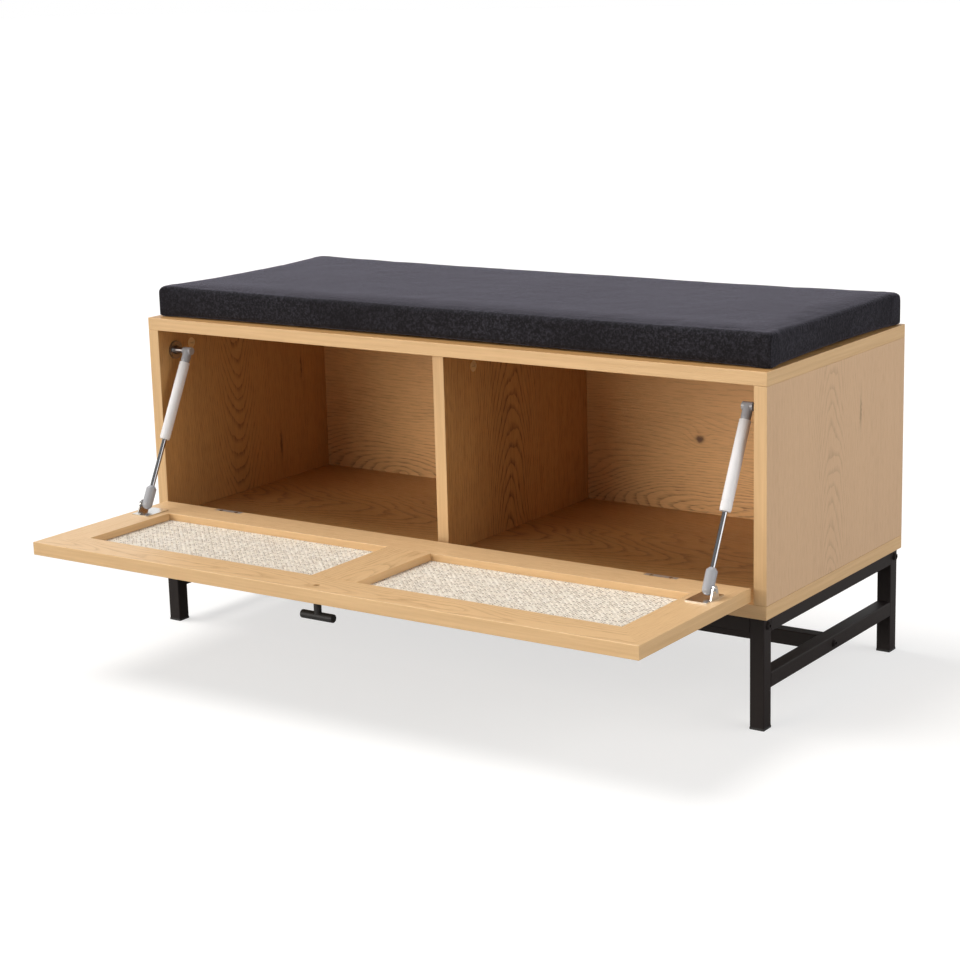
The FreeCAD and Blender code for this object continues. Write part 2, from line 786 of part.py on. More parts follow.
def make_cushion():
    core = cushion_solid(cushion_cover)
    save("cushion_cover", cushion_solid(0.0).cut(core))
    save("foam_core", core)


# Boards of the carcass
def make_carcass(fitting_cuts, side_cuts, bottom_cuts):
    back_panel = block(
        (-inner_side - back_groove, inner_side + back_groove),
        (back_face, back_face + back_board),
        (floor_level - back_groove, ceiling_level + back_groove),
    )
    whole_x = (-half_width, half_width)
    whole_y = (front, rear)
    upright_z = (floor_level, ceiling_level)
    boards = {
        "top_panel": round_board(whole_x, whole_y, (ceiling_level, seat_level)),
        "bottom_panel": round_board(whole_x, whole_y, (leg_height, floor_level)),
        "left_side_panel": round_board((-half_width, -inner_side), whole_y, upright_z),
        "right_side_panel": round_board((inner_side, half_width), whole_y, upright_z),
        "centre_divider": round_board((-board / 2, board / 2), (divider_front, back_face), upright_z),
    }
    extra = dict(side_cuts)
    extra["bottom_panel"] = bottom_cuts
    for name, shape in boards.items():
        cuts = fitting_cuts[name] + extra.get(name, [])
        if name != "centre_divider":
            cuts.append(back_panel)
        save(name, shape.cut(cuts))
    save("back_panel", back_panel)


def main():
    os.makedirs("parts", exist_ok=True)
    fitting_cuts = make_fittings()
    bottom_cuts = make_leg_frame()
    flap_cuts = make_knob()
    side_cuts = {}

    cabinet_leaves = []
    flap_leaves = []
    pins = []
    hinge_cabinet_screws = []
    hinge_flap_screws = []
    discs = []
    disc_screws = []
    brackets = []
    plate_screws = []
    studs = []
    for side_name, side in (("left", -1), ("right", 1)):
        hinge = hinge_leaves(side * hinge_from_middle)
        cabinet_leaves.append(hinge["cabinet_leaf"])
        flap_leaves.append(hinge["flap_leaf"])
        pins.append(hinge["pin"])
        hinge_cabinet_screws += hinge["cabinet_screws"]
        hinge_flap_screws += hinge["flap_screws"]
        bottom_cuts = bottom_cuts + hinge["cabinet_cuts"]
        flap_cuts = flap_cuts + hinge["flap_cuts"]

        make_strut(side_name, side)
        disc, screws, holes = strut_cabinet_bracket(side)
        discs.append(disc)
        disc_screws += screws
        side_cuts[side_name + "_side_panel"] = holes
        bracket, stud, screws, holes = strut_flap_bracket(side)
        brackets.append(bracket)
        plate_screws += screws
        studs.append(stud)
        flap_cuts = flap_cuts + holes
    save("hinge_cabinet_leaves", cabinet_leaves)
    save("hinge_flap_leaves", flap_leaves)
    save("hinge_pins", pins)
    save("hinge_cabinet_screws", hinge_cabinet_screws)
    save("hinge_flap_screws", hinge_flap_screws)
    save("strut_cabinet_brackets", discs)
    save("strut_cabinet_screws", disc_screws)
    save("strut_flap_brackets", brackets)
    save("strut_flap_screws", plate_screws)
    save("strut_flap_studs", studs)

    make_flap(flap_cuts)
    make_carcass(fitting_cuts, side_cuts, bottom_cuts)
    make_cushion()


main()
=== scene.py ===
# %% [markdown]
# # A shoe storage bench, dressed around its frame
#
# The bench is an oak-look cabinet on a black tube frame, with a drop-down front that has two cane
# windows, two gas struts and a loose charcoal cushion. The rigid pieces come ready from the frame, at
# their real size, so they are only given a finish. Two things can't be shown by a plain solid and are
# made here: the woven cane and the soft cushion.

import math
from collections import namedtuple

import bmesh
import bpy
from mathutils import Matrix, Vector
from mathutils import noise as soft_noise


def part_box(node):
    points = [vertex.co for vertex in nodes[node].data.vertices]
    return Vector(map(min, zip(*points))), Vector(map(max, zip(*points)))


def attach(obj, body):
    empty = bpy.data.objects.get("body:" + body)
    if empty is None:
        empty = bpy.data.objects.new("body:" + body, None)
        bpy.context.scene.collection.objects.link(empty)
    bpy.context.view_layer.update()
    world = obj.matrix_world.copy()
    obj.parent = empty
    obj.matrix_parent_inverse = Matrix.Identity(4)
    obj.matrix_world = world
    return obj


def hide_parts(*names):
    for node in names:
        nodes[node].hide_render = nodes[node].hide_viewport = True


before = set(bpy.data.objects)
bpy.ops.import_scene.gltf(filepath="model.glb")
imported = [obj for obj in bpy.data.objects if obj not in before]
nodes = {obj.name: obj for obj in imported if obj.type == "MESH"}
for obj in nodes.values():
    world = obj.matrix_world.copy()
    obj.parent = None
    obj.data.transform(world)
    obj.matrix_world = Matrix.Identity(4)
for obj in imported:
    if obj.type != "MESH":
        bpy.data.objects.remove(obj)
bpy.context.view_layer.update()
scene = bpy.context.scene

# %% [markdown]
# ## The camera
#
# A camera can be aimed by hand, or worked out from a few known corners of the object. Here its place,
# its turn to the left, its dip and its slight roll were worked out from the cabinet's corners, and the
# lens follows from the same sums. Building its three axes as vectors keeps the roll easy to read.

# %% Camera
camera_place = Vector((1.700, -2.392, 0.9345))
camera_turn = math.radians(34.86)
camera_dip = math.radians(13.05)
camera_roll = math.radians(-1.58)
camera_lens = 82.79
camera_film = 36.0

ahead = Vector((-math.sin(camera_turn), math.cos(camera_turn), 0.0)) * math.cos(camera_dip)
ahead.z = -math.sin(camera_dip)
level_right = Vector((math.cos(camera_turn), math.sin(camera_turn), 0.0))
level_up = level_right.cross(ahead)
picture_right = level_right * math.cos(camera_roll) + level_up * math.sin(camera_roll)
picture_up = level_up * math.cos(camera_roll) - level_right * math.sin(camera_roll)

camera_data = bpy.data.cameras.new("camera")
camera_data.lens = camera_lens
camera_data.sensor_width = camera_film
camera_data.sensor_fit = "HORIZONTAL"
camera = bpy.data.objects.new("camera", camera_data)
scene.collection.objects.link(camera)
camera_axes = Matrix((picture_right, picture_up, -ahead)).transposed()
camera.matrix_world = Matrix.Translation(camera_place) @ camera_axes.to_4x4()
scene.camera = camera
print("camera looks along", [round(v, 3) for v in ahead])

# %% [markdown]
# ## Short words for nodes
#
# Every finish below is a small tree of nodes. Writing each node out in full takes five lines, so these
# helpers add a node, set or join its inputs, and hand back the output that the next node needs.

# %% Node helpers
def join(tree, node, inputs):
    """Sets a node's inputs; a value is a number, a colour or another node's output."""
    for key, value in inputs.items():
        if isinstance(value, bpy.types.NodeSocket):
            tree.links.new(value, node.inputs[key])
        else:
            node.inputs[key].default_value = value


def put(tree, kind, inputs=None, **settings):
    """Adds a node with its settings and inputs."""
    node = tree.nodes.new(kind)
    for key, value in settings.items():
        setattr(node, key, value)
    join(tree, node, inputs or {})
    return node


def calc(tree, operation, first, second=0.0, third=0.0):
    """One sum on numbers."""
    inputs = {0: first, 1: second, 2: third}
    return put(tree, "ShaderNodeMath", inputs, operation=operation).outputs[0]


def triple(tree, x, y, z):
    """Three numbers as one vector."""
    return put(tree, "ShaderNodeCombineXYZ", {0: x, 1: y, 2: z}).outputs[0]


def parts_of(tree, vector):
    """A vector's three numbers."""
    return put(tree, "ShaderNodeSeparateXYZ", {0: vector}).outputs


def scaled(tree, vector, rates):
    """A vector with each of its numbers multiplied."""
    return put(tree, "ShaderNodeVectorMath", {0: vector, 1: rates}, operation="MULTIPLY").outputs[0]


print("node helpers ready")

# %% Pattern helpers
def cloudy(tree, place, scale=1.0, detail=3.0, roughness=0.5):
    """Smooth noise from 0 to 1."""
    sizes = {"Vector": place, "Scale": scale, "Detail": detail, "Roughness": roughness}
    return put(tree, "ShaderNodeTexNoise", sizes).outputs[0]


def between(tree, value, low, high, start=0.0, end=1.0):
    """Stretches the span from low to high over start to end, and stops there."""
    spans = {"Value": value, "From Min": low, "From Max": high, "To Min": start, "To Max": end}
    return put(tree, "ShaderNodeMapRange", spans, clamp=True).outputs[0]


def blended(tree, share, first, second):
    """Two colours mixed."""
    inputs = {0: share, 6: first, 7: second}
    return put(tree, "ShaderNodeMix", inputs, data_type="RGBA", blend_type="MIX").outputs[2]


def relief(tree, height, depth):
    """Turns a height into a bumped normal; depth is in metres."""
    return put(tree, "ShaderNodeBump", {"Height": height, "Distance": depth}).outputs[0]


def colour(red, green, blue):
    """A colour in linear light."""
    return (red, green, blue, 1.0)


print("pattern helpers ready")

# %% Finish helpers
def new_finish(name):
    """A material, its tree, its shader and the piece's own coordinates."""
    finish = bpy.data.materials.new(name)
    finish.use_nodes = True
    tree = finish.node_tree
    coordinates = put(tree, "ShaderNodeTexCoord")
    return finish, tree, tree.nodes["Principled BSDF"], coordinates.outputs


def dress(finish, *names):
    """Gives a finish to CAD nodes."""
    for name in names:
        slots = nodes[name].data.materials
        slots.clear()
        slots.append(finish)
    print(finish.name, "on", len(names), "nodes")


print("finish helpers ready")

# %% [markdown]
# ## Floor, background and light
#
# The bench stands on a plain white sweep. A floor that is lit to full white would need so much light
# that the oak would bleach, so the lamps stay at a plain level, and the floor and the sky are lifted to
# white only where the camera looks at them. The floor is still lit, so it keeps the bench's shadow.
# Mirror-like metal sees a studio: a white sweep behind the bench and a dim room behind the camera.
# Far lamps with a wide disc give the soft light of large panels, at the same strength everywhere.

# %% Floor
floor_reach = 40.0
floor_tones = (colour(0.42, 0.42, 0.42), colour(0.44, 0.44, 0.44))
floor_grain = 30.0
floor_lift = 0.64


def seen_directly(tree):
    """1 for rays that come from the camera."""
    return put(tree, "ShaderNodeLightPath").outputs["Is Camera Ray"]


def floor_paint():
    """Matt grey that glows to white for the camera alone."""
    paint = bpy.data.materials.new("white_sweep")
    paint.use_nodes = True
    tree = paint.node_tree
    tree.nodes.remove(tree.nodes["Principled BSDF"])
    grain = cloudy(tree, put(tree, "ShaderNodeTexCoord").outputs["Object"], floor_grain)
    matt = put(tree, "ShaderNodeBsdfDiffuse", {"Color": blended(tree, grain, *floor_tones)})
    lift = calc(tree, "MULTIPLY", seen_directly(tree), floor_lift)
    glow = put(tree, "ShaderNodeEmission", {"Strength": lift})
    lifted = put(tree, "ShaderNodeAddShader", {0: matt.outputs[0], 1: glow.outputs[0]})
    join(tree, tree.nodes["Material Output"], {"Surface": lifted.outputs[0]})
    return paint


def make_floor():
    """One large square under the bench."""
    mesh = bpy.data.meshes.new("floor")
    r = floor_reach
    mesh.from_pydata([(-r, -r, 0), (r, -r, 0), (r, r, 0), (-r, r, 0)], [], [(0, 1, 2, 3)])
    floor = bpy.data.objects.new("floor", mesh)
    scene.collection.objects.link(floor)
    mesh.materials.append(floor_paint())


make_floor()
print("floor is", 2 * floor_reach, "m wide")

# %% Sky
sky_ambient = 0.22
room_glow = 0.12
sweep_low = -0.2
sweep_high = 0.35


def make_sky():
    """White for the camera, a sweep and a dim room for mirrors, and a little light from all sides."""
    world = bpy.data.worlds.new("sky")
    world.use_nodes = True
    tree = world.node_tree
    way = parts_of(tree, put(tree, "ShaderNodeTexCoord").outputs["Generated"])
    sweep = between(tree, way[1], sweep_low, sweep_high, room_glow, 1.0)
    glossy = put(tree, "ShaderNodeLightPath").outputs["Is Glossy Ray"]
    mirrored = calc(tree, "MULTIPLY", glossy, sweep)
    shown = calc(tree, "MAXIMUM", seen_directly(tree), mirrored)
    strength = calc(tree, "MAXIMUM", shown, sky_ambient)
    join(tree, tree.nodes["Background"], {"Color": colour(1.0, 1.0, 1.0), "Strength": strength})
    scene.world = world


make_sky()
scene.view_settings.view_transform = "Standard"
print("sky lights the bench at", sky_ambient)

# %% Lamps
def lamp(name, come_from, spread, strength, tint):
    """A far lamp as wide as a soft box; come_from points from the bench to the lamp."""
    data = bpy.data.lights.new(name, "SUN")
    data.angle = math.radians(spread)
    data.energy = strength
    data.color = tint
    item = bpy.data.objects.new(name, data)
    item.rotation_euler = Vector(come_from).to_track_quat("Z", "Y").to_euler()
    scene.collection.objects.link(item)


lamp("top", (-0.50, -0.12, 1.0), 30.0, 2.2, (1.0, 0.98, 0.95))
lamp("front", (-0.45, -1.0, 0.12), 40.0, 2.5, (1.0, 0.95, 0.88))
lamp("side", (1.0, 0.15, 0.35), 60.0, 1.5, (1.0, 0.98, 0.96))
print("three lamps")

# %% [markdown]
# ## Oak foil
#
# The boards are chipboard wrapped in a printed oak foil. A photograph of oak could be stretched over
# them, but a pattern that is worked out has no seams and stays sharp. Growth rings are cones round the
# heart of the tree: where the board's face cuts them, they show as nested arches. So each board has a
# heart, given as a place along and across its grain. On the long back board the arches run forth and
# back, as a print does that comes round again. Noise that is stretched along the grain makes the rings
# wander and breaks them into the short dark pores of oak. Narrow faces carry edge strip, which is
# plainer and warmer, with its grain along the strip.

# %% Axes of a board
facing_share = 0.7
grain_roughness = 0.55


def board_axes(tree, coordinates, order):
    """Places along, across and through the board, swapped on its ends, and a mask for edge strip."""
    place = parts_of(tree, coordinates["Object"])
    facing = parts_of(tree, coordinates["Normal"])
    along, across, through = (place["XYZ".index(axis)] for axis in order)
    to_end = calc(tree, "ABSOLUTE", facing["XYZ".index(order[0])])
    to_face = calc(tree, "ABSOLUTE", facing["XYZ".index(order[2])])
    end_face = calc(tree, "GREATER_THAN", to_end, facing_share)
    strip = calc(tree, "LESS_THAN", to_face, facing_share)
    usual = triple(tree, along, across, through)
    turned = triple(tree, across, through, along)
    choice = {0: end_face, 4: usual, 5: turned}
    chosen = parts_of(tree, put(tree, "ShaderNodeMix", choice, data_type="VECTOR").outputs[1])
    return (chosen[0], chosen[1], chosen[2]), strip


def stretched(tree, axes, along_rate, across_rate, detail=3.0):
    """Noise drawn out along the grain; rates are per metre."""
    rates = (along_rate, across_rate, across_rate)
    place = [calc(tree, "MULTIPLY", axis, rate) for axis, rate in zip(axes, rates)]
    return cloudy(tree, triple(tree, *place), 1.0, detail, grain_roughness)


def swaying(tree, axes, along_rate, across_rate):
    """The same noise as a push to either side."""
    return calc(tree, "SUBTRACT", stretched(tree, axes, along_rate, across_rate, 2.0), 0.5)


print("board axes ready")

# %% Knots and streaks
Spot = namedtuple("Spot", "along across length width depth")
ragged_reach = 0.006


def nearness(tree, axes, spot, spread=1.0):
    """1 at the middle of a knot or streak, and 0 well away from it."""
    a = calc(tree, "SUBTRACT", axes[0], spot.along)
    b = calc(tree, "SUBTRACT", axes[1], spot.across)
    a = calc(tree, "DIVIDE", a, spot.length * spread)
    b = calc(tree, "DIVIDE", b, spot.width * spread)
    square = calc(tree, "ADD", calc(tree, "MULTIPLY", a, a), calc(tree, "MULTIPLY", b, b))
    return calc(tree, "DIVIDE", 1.0, calc(tree, "MULTIPLY_ADD", square, square, 1.0))


def spot_darkness(tree, axes, spots):
    """How dark the knots and streaks are, with ragged outlines."""
    uneven = swaying(tree, axes, 150.0, 260.0)
    ragged = [calc(tree, "MULTIPLY_ADD", uneven, ragged_reach, axis) for axis in axes]
    dark = 0.0
    for spot in spots:
        own = calc(tree, "MULTIPLY", nearness(tree, ragged, spot), spot.depth)
        dark = calc(tree, "MAXIMUM", own, dark)
    return dark


print("a spot has", len(Spot._fields), "sizes")

# %% Growth rings
ripple_width = 1.2
spot_spread = 3.5
spot_push = 1.6


def ring_field(tree, axes, heart, width, slope, waves, repeat, spots):
    """Distance from the heart, counted in rings that bend round the spots, and distance to the side."""
    along, across, through = axes
    wander = swaying(tree, axes, 3.0, 9.0)
    ripple = swaying(tree, axes, 14.0, 45.0)
    away = calc(tree, "PINGPONG", calc(tree, "SUBTRACT", along, heart[0]), repeat)
    rise = calc(tree, "MULTIPLY", away, slope)
    rise = calc(tree, "MULTIPLY_ADD", wander, waves * width, rise)
    side = calc(tree, "SUBTRACT", across, heart[1])
    side = calc(tree, "MULTIPLY_ADD", wander, waves * width, side)
    square = calc(tree, "MULTIPLY_ADD", side, side, calc(tree, "MULTIPLY", rise, rise))
    radius = calc(tree, "MULTIPLY_ADD", ripple, ripple_width * width, calc(tree, "SQRT", square))
    for spot in spots:
        near = nearness(tree, axes, spot, spot_spread)
        radius = calc(tree, "MULTIPLY_ADD", near, width * spot_push, radius)
    return calc(tree, "DIVIDE", radius, width), side


early_wood = 0.38
late_wood = 0.92
far_lines = 0.25


def ring_lines(tree, rings, side, reach):
    """Dark lines where rings start, fainter further than reach from the heart."""
    phase = calc(tree, "FRACT", rings)
    early = between(tree, phase, 0.0, early_wood, 1.0, 0.0)
    late = between(tree, phase, late_wood, 1.0)
    away = calc(tree, "DIVIDE", side, reach)
    fade = calc(tree, "DIVIDE", 1.0 - far_lines, calc(tree, "MULTIPLY_ADD", away, away, 1.0))
    return calc(tree, "MULTIPLY", calc(tree, "MAXIMUM", early, late), calc(tree, "ADD", fade, far_lines))


print("early wood fills", early_wood, "of a ring")

# %% Oak figure
Grain = namedtuple("Grain", "dash pore fibre cloud")


def grain_of(tree, axes):
    """Dashes, pores, fibres and clouds, each drawn out along the grain."""
    dash = between(tree, stretched(tree, axes, 55.0, 620.0, 2.0), 0.42, 0.72)
    pore = between(tree, stretched(tree, axes, 120.0, 1700.0, 2.0), 0.56, 0.70)
    fibre = stretched(tree, axes, 7.0, 240.0, 4.0)
    cloud = stretched(tree, axes, 2.0, 11.0, 2.0)
    return Grain(dash, pore, fibre, cloud)


solid_line = 0.42
dashed_line = 0.55
dash_weight = 0.26
pore_weight = 0.15
fibre_weight = 0.45
pale_level = 0.45
spot_weight = 1.3


def figure_of(tree, lines, grain, contrast, dark):
    """How dark the print is, from 0 to 1."""
    broken = calc(tree, "MULTIPLY_ADD", grain.dash, dashed_line, solid_line)
    figure = calc(tree, "MULTIPLY", lines, broken)
    figure = calc(tree, "MULTIPLY_ADD", grain.dash, dash_weight, figure)
    figure = calc(tree, "MULTIPLY_ADD", grain.pore, pore_weight, figure)
    soft = calc(tree, "ADD", grain.fibre, grain.cloud)
    figure = calc(tree, "MULTIPLY_ADD", soft, fibre_weight, figure)
    figure = calc(tree, "MULTIPLY", calc(tree, "SUBTRACT", figure, pale_level), contrast)
    figure = calc(tree, "MAXIMUM", calc(tree, "MULTIPLY", dark, spot_weight), figure)
    return between(tree, figure, 0.0, 1.0)


print("the figure mixes", len(Grain._fields), "kinds of grain with the rings")

# %% [markdown]
# ## Oak on the boards
#
# The same print serves every board, with its own heart, ring width and tones. Faces inside the
# cabinet get darker tones as painted shade, as little light reaches them; the sides' outer faces get
# paler tones, and a material can tell them apart by which way the face points, so each side board
# needs only one finish.

# %% Oak finish
outer_tones = (colour(0.72, 0.475, 0.280), colour(0.53, 0.335, 0.19))
strip_tones = (colour(0.76, 0.500, 0.250), colour(0.54, 0.32, 0.14))
knot_tone = colour(0.07, 0.030, 0.010)
knot_share = 0.75
pore_depth = 0.00012


def oak(name, order, heart, tones, contrast, ring, slope,
        reach=0.09, waves=9.0, repeat=4.0, spots=(), outward=0.0):
    """order names the axes along, across and through; heart is the arches' centre along and across.

    outward is the sign of the through axis on a side board's outer face.
    """
    finish, tree, shader, coordinates = new_finish(name)
    axes, strip = board_axes(tree, coordinates, order)
    rings, side = ring_field(tree, axes, heart, ring, slope, waves, repeat, spots)
    grain = grain_of(tree, axes)
    dark = spot_darkness(tree, axes, spots) if spots else 0.0
    shade = figure_of(tree, ring_lines(tree, rings, side, reach), grain, contrast, dark)
    face = blended(tree, shade, *tones)
    # A side board's outer face gets the paler outer tones; its other faces keep the darker tones of
    # painted shade.
    if outward:
        facing = parts_of(tree, coordinates["Normal"])["XYZ".index(order[2])]
        outer = calc(tree, "GREATER_THAN", calc(tree, "MULTIPLY", facing, outward), 0.5)
        face = blended(tree, outer, face, blended(tree, shade, *outer_tones))
    if spots:
        face = blended(tree, calc(tree, "MULTIPLY", dark, knot_share), face, knot_tone)
    edge = blended(tree, between(tree, grain.fibre, 0.35, 0.85, 0.0, 0.6), *strip_tones)
    rough = calc(tree, "MULTIPLY_ADD", grain.fibre, 0.12, 0.34)
    rough = calc(tree, "MULTIPLY_ADD", grain.dash, 0.10, rough)
    height = calc(tree, "MULTIPLY_ADD", grain.dash, -0.8, grain.fibre)
    height = calc(tree, "MULTIPLY_ADD", grain.pore, -0.6, height)
    join(tree, shader, {
        "Base Color": blended(tree, strip, face, edge),
        "Roughness": rough,
        "Normal": relief(tree, height, pore_depth),
    })
    return finish


print("oak finish ready")

# %% Oak on the standing boards
# Darker tones for faces inside the cabinet: painted shade on the same foil as outside.
inner_shade_tones = (colour(0.57, 0.312, 0.112), colour(0.175, 0.074, 0.020))
back_tones = (colour(0.80, 0.470, 0.190), colour(0.34, 0.160, 0.055))
side_low, side_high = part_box("right_side_panel")
board_depth = side_high.y - side_low.y
board_height = side_high.z - side_low.z


def on_side(share_up, share_back):
    """A place on a side board, as height and depth."""
    return side_low.z + share_up * board_height, side_low.y + share_back * board_depth


right_streak = Spot(*on_side(0.72, 0.66), 0.018, 0.0022, 0.45)
low_streak = Spot(*on_side(0.20, 0.66), 0.020, 0.0022, 0.55)
high_streak = Spot(*on_side(0.62, 0.80), 0.016, 0.0016, 0.55)
knot = Spot(0.197, 0.271, 0.0055, 0.004, 1.0)
right_heart = on_side(-0.75, 0.46)
left_heart = on_side(1.75, 0.42)
divider_heart = on_side(-0.70, 0.44)
back_heart = (-0.33, side_low.z + 0.004)

right_oak = oak(
    "oak_right_side", "ZYX", right_heart, inner_shade_tones, contrast=1.0, ring=0.0034, slope=0.15,
    reach=0.035, spots=[right_streak], outward=1.0,
)
left_oak = oak(
    "oak_left_side", "ZYX", left_heart, inner_shade_tones, contrast=0.9, ring=0.0034, slope=0.16,
    reach=0.04, spots=[low_streak, high_streak], outward=-1.0,
)
divider_oak = oak(
    "oak_divider", "ZYX", divider_heart, inner_shade_tones, contrast=1.15, ring=0.0036, slope=0.16,
    reach=0.06,
)
back_oak = oak(
    "oak_back", "XZY", back_heart, back_tones, contrast=0.95, ring=0.0050, slope=0.22,
    reach=0.065, waves=12.0, repeat=0.27, spots=[knot],
)
dress(right_oak, "right_side_panel")
dress(left_oak, "left_side_panel")
dress(divider_oak, "centre_divider")
dress(back_oak, "back_panel")

# %% Oak on the lying boards and the flap
flap_tones = (colour(0.76, 0.51, 0.27), colour(0.46, 0.265, 0.11))
lying_heart = (-1.3, 0.10)
rail_heart = (-1.4, -0.32)
stile_heart = (-1.4, 0.02)

# The lying boards take the darker tones of painted shade on their broad faces.
lying_oak = oak(
    "oak_lying", "XYZ", lying_heart, inner_shade_tones, contrast=0.85, ring=0.0050, slope=0.12,
)
rail_oak = oak(
    "oak_rail", "XYZ", rail_heart, flap_tones, contrast=0.75, ring=0.0030, slope=0.03, reach=0.25,
)
stile_oak = oak(
    "oak_stile", "YXZ", stile_heart, flap_tones, contrast=0.75, ring=0.0030, slope=0.04, reach=0.25,
)
dress(lying_oak, "top_panel", "bottom_panel")
dress(rail_oak, "flap_hinge_rail", "flap_free_rail", "cane_beads")
dress(stile_oak, "flap_left_stile", "flap_right_stile", "flap_middle_stile")

# %% [markdown]
# ## Metal, plastic and raw wood
#
# Plated steel is bright but never a perfect mirror: faint stains and fine scratches spread its
# reflections. Powder coat is matt with a pebbled skin, and moulded plastic has a fine even grain. Each
# is one shader with a little noise in its colour, its roughness and its bump.

# %% Metal finish
scratch_rates = (2600.0, 160.0, 2600.0)
scratch_depth = 0.0000015
stain_rate = 140.0
stain_shade = 0.82


def plated(name, tone, roughness, scratch_turn=0.0):
    """Bright metal with stains and fine scratches that run along the turned axis."""
    finish, tree, shader, coordinates = new_finish(name)
    turn = {"Vector": coordinates["Object"], "Rotation": (scratch_turn, 0.0, 0.0)}
    turned = put(tree, "ShaderNodeMapping", turn).outputs[0]
    scratch = cloudy(tree, scaled(tree, turned, scratch_rates), 1.0, 2.0)
    stain = cloudy(tree, coordinates["Object"], stain_rate, 3.0)
    dull = colour(*(v * stain_shade for v in tone))
    rough = calc(tree, "MULTIPLY_ADD", scratch, 0.08, roughness)
    join(tree, shader, {
        "Base Color": blended(tree, stain, colour(*tone), dull),
        "Metallic": 1.0,
        "Roughness": calc(tree, "MULTIPLY_ADD", stain, 0.10, rough),
        "Normal": relief(tree, scratch, scratch_depth),
    })
    return finish


print("metal finish ready")

# %% Metals
sides = ("left", "right")
strut_lean = math.pi - math.radians(63.32)


def strut_pair(name):
    """The names of a strut's piece on the left and on the right."""
    return ["%s_strut_%s" % (side, name) for side in sides]


hidden_metal = ["cam_bolts", "bottom_screws", "carcass_screws", "rail_end_nuts", "hinge_pins"]
hinge_screws = ["hinge_cabinet_screws", "hinge_flap_screws"]
strut_metal = ["strut_flap_brackets", "strut_flap_studs", "strut_flap_screws", "strut_cabinet_screws"]
zinc = plated("bright_zinc", (0.80, 0.79, 0.77), 0.12)
dress(zinc, *hidden_metal, *hinge_screws, *strut_metal, "knob_screw", *strut_pair("piston"))
dress(plated("satin_nickel", (0.78, 0.76, 0.73), 0.38), "hinge_cabinet_leaves", "hinge_flap_leaves")
dress(plated("cam_zinc", (0.72, 0.67, 0.58), 0.24), "cam_locks")
dress(plated("dark_nickel", (0.30, 0.28, 0.28), 0.20), "strut_cabinet_brackets")
dress(plated("rod_chrome", (0.50, 0.50, 0.52), 0.05, strut_lean), *strut_pair("rod"))

# %% Paint and plastic
patch_rate = 18.0
patch_lift = 1.25


def coated(name, tone, roughness, pebble_rate, pebble_depth, gloss=0.5):
    """A painted or moulded skin with a pebbled surface."""
    finish, tree, shader, coordinates = new_finish(name)
    pebble = cloudy(tree, coordinates["Object"], pebble_rate, 2.0)
    patch = cloudy(tree, coordinates["Object"], patch_rate, 3.0)
    paler = colour(*(min(1.0, v * patch_lift + 0.004) for v in tone))
    rough = calc(tree, "MULTIPLY_ADD", pebble, 0.10, roughness)
    join(tree, shader, {
        "Base Color": blended(tree, patch, colour(*tone), paler),
        "Roughness": calc(tree, "MULTIPLY_ADD", patch, 0.10, rough),
        "Specular IOR Level": gloss,
        "Normal": relief(tree, pebble, pebble_depth),
    })
    return finish


powder_coat = coated("black_powder_coat", (0.014, 0.0100, 0.0095), 0.45, 900.0, 0.00012, 0.2)
knob_paint = coated("black_paint", (0.016, 0.014, 0.014), 0.36, 1500.0, 0.00004, 0.35)
foot_plastic = coated("foot_plastic", (0.020, 0.020, 0.020), 0.5, 1800.0, 0.00005)
socket_plastic = coated("socket_plastic", (0.33, 0.34, 0.37), 0.16, 2200.0, 0.00003)
tube_paint = coated("tube_paint", (0.72, 0.72, 0.74), 0.16, 1200.0, 0.00002)

legs = ["%s_%s_leg" % (end, side) for end in ("front", "rear") for side in sides]
rails = ["%s_%s_rail" % (side, level) for side in sides for level in ("upper", "lower")]
rails += ["front_upper_rail", "rear_upper_rail", "long_stretcher"]
dress(powder_coat, *legs, *rails, "frame_bolts")
dress(knob_paint, "knob_bar", "knob_stem")
dress(foot_plastic, "foot_plugs")
dress(socket_plastic, *strut_pair("rod_socket"), *strut_pair("tube_socket"))
dress(tube_paint, *strut_pair("tube"), *strut_pair("gland"))

# %% Dowels
def raw_beech():
    """Bare wood with fine fibres."""
    finish, tree, shader, coordinates = new_finish("raw_beech")
    fibre = cloudy(tree, scaled(tree, coordinates["Object"], (900.0, 900.0, 60.0)), 1.0, 3.0)
    join(tree, shader, {
        "Base Color": blended(tree, fibre, colour(0.66, 0.46, 0.27), colour(0.52, 0.33, 0.17)),
        "Roughness": 0.65,
        "Normal": relief(tree, fibre, 0.0001),
    })
    return finish


dress(raw_beech(), "wood_dowels")

# %% [markdown]
# ## Woven cane
#
# The windows hold a close cane weave: flat strips that pass over and under each other. A bump pattern
# would look flat from close by and would close the small holes, so the strips are real. Geometry Nodes
# suit a thing that repeats by a rule: one line of points is copied into rows, another into columns, and
# one wave lifts each strip at every other crossing. The wave is the product of two cosines, so a row
# is up exactly where the column that it crosses is down. Each point also keeps its place in the weave,
# counted in crossings, so that the finish can paint shade on the strips round some of the holes.

# %% Cane finish
# Brown for the painted shade round the weave's holes.
hole_shade_tone = colour(0.17, 0.095, 0.045)


def beside_holes(tree):
    """1 in the corners between crossings, where the weave's holes are."""
    place = put(tree, "ShaderNodeAttribute", attribute_name="weave_place").outputs["Vector"]
    counts = parts_of(tree, place)
    gaps = []
    for count in (counts[0], counts[1]):
        wave = calc(tree, "COSINE", calc(tree, "MULTIPLY", count, math.pi))
        gaps.append(calc(tree, "SUBTRACT", 1.0, calc(tree, "ABSOLUTE", wave)))
    return between(tree, calc(tree, "MULTIPLY", gaps[0], gaps[1]), 0.05, 0.22)


